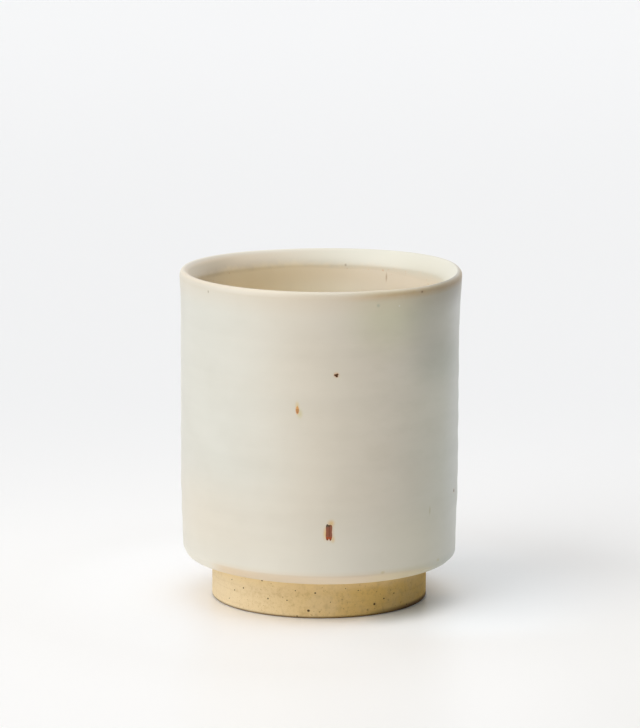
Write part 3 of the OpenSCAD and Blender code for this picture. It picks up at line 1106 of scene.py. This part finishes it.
class CUP_OT_iron_spots(bpy.types.Operator):
    """Iron spots melted through the outside glaze"""

    bl_idname = "cup.iron_spots"
    bl_label = "Iron spots"

    # Points round a spot, rings from its middle to its edge, depth of its back and height of its face
    columns = 96
    rings = 13
    back = 0.30 * MM
    crown = 0.03 * MM

    def execute(self, context):
        """Makes every spot of the table with one finish."""
        s, c = context.scene.cup_sizes, context.scene.cup_colours
        finish = iron_finish(c)
        for name in IRON_MARKS:
            finish_piece(self.spot(name, s), finish, "iron_spots")
        return {"FINISHED"}

    def spot(self, name, s):
        """A lens on the wall, a hair above the glaze: a superellipse with a ragged edge and a notch.

        Rings of points run from the middle of its back to its edge and over its face to the middle.
        """
        bearing, height, width, run, square, notch, lobes = IRON_MARKS[name]
        rng = np.random.default_rng(len(name))
        a = np.linspace(0, 2 * np.pi, self.columns, endpoint=False)
        ragged = 1 + sum(
            rng.uniform(-0.03, 0.03) * np.cos(k * a + rng.uniform(0, 6.28)) for k in range(2, 9)
        )
        ragged -= notch * np.exp(-((a - np.radians(272)) / np.radians(9)) ** 2)
        ragged += lobes * np.cos(3 * (a - np.radians(48)))
        edge = ragged / (np.abs(np.cos(a)) ** square + np.abs(np.sin(a)) ** square) ** (1 / square)
        out = np.linspace(0, 1, self.rings)
        share = np.concatenate([out, out[-2::-1]])[:, None]
        lift = np.concatenate([np.full(self.rings, -self.back), self.crown * out[1:] ** 0.5])[:, None]
        across, up = share * edge * np.cos(a), share * edge * np.sin(a)
        z = (height + up * run / 2) * MM
        b = np.radians(bearing) + across * width / 2 * MM / wall_radius(height * MM, s)
        points = hand_thrown(path(wall_radius(z, s) + lift, z), s, b)
        return skin("iron_" + name, points, "poles", self.layers(name, across, up, share))

    @staticmethod
    def layers(name, across, up, share):
        """How far each colour shows over a spot.

        Each is made of eased steps and humps of the places across and up it and of the share to its edge.
        """
        inner = 1 - share ** 6
        shown = dict.fromkeys(IRON_LAYERS, 0.0)
        if name == "streak":
            foot = ease((-0.45 - up) / 0.2)
            corners = ease((-0.62 - up) / 0.2) * ease((np.abs(across) - 0.25) / 0.3)
            core = hump(across, 0.1, 0.4) * (1 - foot)
            shown["brown"] = 0.35 + 0.65 * inner
            shown["rust"] = foot
            shown["olive"] = 0.8 * ease((up - 0.35) / 0.5) * ease((0.25 - across) / 0.5)
            shown["iron"] = 0.65 * corners + 0.35 * ease((up - 0.55) / 0.3) + 0.50 * core
        elif name == "long_fleck":
            shown["brown"] = 0.65 * inner * hump(up, -0.40, 0.5) + 0.35 * hump(up, 0.1, 0.3)
            shown["rust"] = 0.30 * inner * hump(up, 0.20, 0.3)
            shown["iron"] = 0.65 * hump(up, 0.05, 0.12)
        else:
            shown["brown"] = inner
            shown["iron"] = 1 - share ** 3
        return shown


class CUP_OT_stage(bpy.types.Operator):
    """Floor, soft lights and the camera"""

    bl_idname = "cup.stage"
    bl_label = "Stage"

    # Points round the floor, its radius, its lap under the foot, the studio's tint and the sensor's width
    columns = 96
    floor_r = 8.0
    floor_lap = 0.8 * MM
    wall_tint = (0.985, 1.0, 1.025, 1)
    sensor_mm = 36.0

    def execute(self, context):
        """Sets the view transform and makes the floor, the lights and the camera."""
        t = context.scene.cup_stage
        context.scene.view_settings.view_transform = "Standard"
        self.floor(context.scene, t)
        self.lights(context.scene, t)
        self.camera(context.scene, t)
        return {"FINISHED"}

    def floor(self, scene, t):
        """A wide flat ring of floor, open under the foot ring, and seen through from below."""
        b = bearings(self.columns)
        ring = around(1.0, 0 * b, b)
        points = np.concatenate([ring * (scene.cup_sizes.foot_r - self.floor_lap), ring * self.floor_r])
        inner = np.arange(len(b))
        outer = inner + len(b)
        faces = np.stack([inner, outer, np.roll(outer, -1), np.roll(inner, -1)], -1)
        mesh = bpy.data.meshes.new("floor")
        mesh.from_pydata(points.tolist(), [], faces.tolist())
        mesh.materials.append(self.floor_finish(t))
        floor = bpy.data.objects.new("floor", mesh)
        scene.collection.objects.link(floor)

    @staticmethod
    def floor_finish(t):
        """Pale floor: soft steps of tone to the back, painted shade to the side, painted light round the
        foot, a painted contact shadow, and clear from below.
        """
        made, f, shader = material("pale_floor", Roughness=0.35, Specular_IOR_Level=0.2)
        p = f.point()
        x, y, away = p.x, p.y, p.place.size()
        # Painted shade: darker to the right, away from the softbox
        tone = f.mix(x.mm(20, 100) * y.mm(20, -60), t.floor, t.floor_side_shade)
        tone = f.mix(y.mm(-50, 320), tone, t.floor_mid)
        tone = f.mix(y.mm(600, 1700), tone, t.floor_far)
        # Painted light: brighter round the foot, paler and cooler in the cup's shade
        near = f.mix(x.mm(-10, 30), t.floor_near_painted_light, t.floor_shade)
        tone = f.mix(away.mm(95, 45) * (1.0 - x.mm(0, 30) * y.mm(-35, -65)), tone, near)
        # Painted contact shadow: darker, cooler floor at the foot's front right
        contact_shadow = away.mm(46, 34) * x.mm(10, 24) * y.mm(10, -12)
        feed(f, shader, Base_Color=f.tint(contact_shadow, tone, TINTS["floor contact"]))
        below = f.node("NewGeometry", output="Backfacing")
        clear = f.node("BsdfTransparent")
        both = f.node("MixShader", None, {0: below, 1: Flow(f.tree, shader.outputs[0]), 2: clear})
        f.tree.links.new(both.socket, f.tree.nodes["Material Output"].inputs["Surface"])
        return made

    def lights(self, scene, t):
        """A softbox at the left, a wide one overhead, a weak reflector behind at the right, and pale walls.

        One more light, from below, reaches only the recess of the foot through the floor's opening.
        """
        lamps = {
            "key": (t.key_power, t.key_spread, t.key_height, t.key_bearing),
            "top": (t.top_power, t.top_spread, np.pi / 2, 0.0),
            "fill": (t.fill_power, t.fill_spread, t.fill_height, t.fill_bearing),
            "under": (t.under_power, t.top_spread, -np.pi / 2, 0.0),
        }
        for name, (power, width, height, bearing) in lamps.items():
            data = bpy.data.lights.new(name, "SUN")
            data.energy = power
            data.angle = width
            lamp = bpy.data.objects.new(name, data)
            lamp.rotation_euler = (np.pi / 2 - height, 0, bearing)
            scene.collection.objects.link(lamp)
        world = bpy.data.worlds.new("studio")
        scene.world = world
        world.use_nodes = True
        f = Flow(world.node_tree)
        rays = ("Is Camera Ray", "Is Glossy Ray", "Is Transmission Ray")
        seen = sum((f.node("LightPath", output=ray) for ray in rays), 0.0)
        strength = t.sky + (t.walls - t.sky) * seen.step(0.0, 1.0)
        shine = world.node_tree.nodes["Background"]
        shine.inputs["Color"].default_value = self.wall_tint
        f.tree.links.new(strength.socket, shine.inputs["Strength"])

    def camera(self, scene, t):
        """A camera in front of the cup, tilted down to it and rolled a little."""
        data = bpy.data.cameras.new("camera")
        data.lens = t.lens
        data.sensor_width = self.sensor_mm
        camera = bpy.data.objects.new("camera", data)
        tilt = Matrix.Rotation(np.pi / 2 - t.camera_pitch, 4, "X")
        roll = Matrix.Rotation(t.camera_roll, 4, "Z")
        camera.matrix_world = Matrix.Translation((0, -t.camera_distance, t.camera_h)) @ tilt @ roll
        scene.collection.objects.link(camera)
        scene.camera = camera


class CUP_PT_panel(bpy.types.Panel):
    """Lists the pieces of the cup"""

    bl_idname = "CUP_PT_panel"
    bl_label = "Tea Cup"
    bl_space_type = "VIEW_3D"
    bl_region_type = "UI"
    bl_category = "Tea Cup"

    def draw(self, context):
        """Draws a button for each operator and a box for each group of properties."""
        for operator in OPERATORS:
            self.layout.operator(operator.bl_idname)
        for name in GROUPS:
            group = getattr(context.scene, name)
            box = self.layout.box()
            for key in group.bl_rna.properties.keys():
                if key not in ("rna_type", "name"):
                    box.prop(group, key)


OPERATORS = (
    CUP_OT_clay_body,
    CUP_OT_foot_ring,
    CUP_OT_inside_glaze,
    CUP_OT_outside_glaze,
    CUP_OT_iron_spots,
    CUP_OT_stage,
)
GROUPS = {"cup_sizes": CupSizes, "cup_colours": CupColours, "cup_stage": StageSettings}
CLASSES = (*GROUPS.values(), *OPERATORS, CUP_PT_panel)


def register():
    """Registers the classes and gives the scene its groups of properties."""
    for kind in CLASSES:
        bpy.utils.register_class(kind)
    for name, group in GROUPS.items():
        setattr(bpy.types.Scene, name, PointerProperty(type=group))


def unregister():
    """Takes the groups of properties off the scene and removes the classes."""
    for name in GROUPS:
        delattr(bpy.types.Scene, name)
    for kind in reversed(CLASSES):
        bpy.utils.unregister_class(kind)


def main():
    """Builds the pieces and the stage in order."""
    register()
    bpy.ops.cup.clay_body()
    bpy.ops.cup.foot_ring()
    bpy.ops.cup.inside_glaze()
    bpy.ops.cup.outside_glaze()
    bpy.ops.cup.iron_spots()
    bpy.ops.cup.stage()


if __name__ == "__main__":
    main()
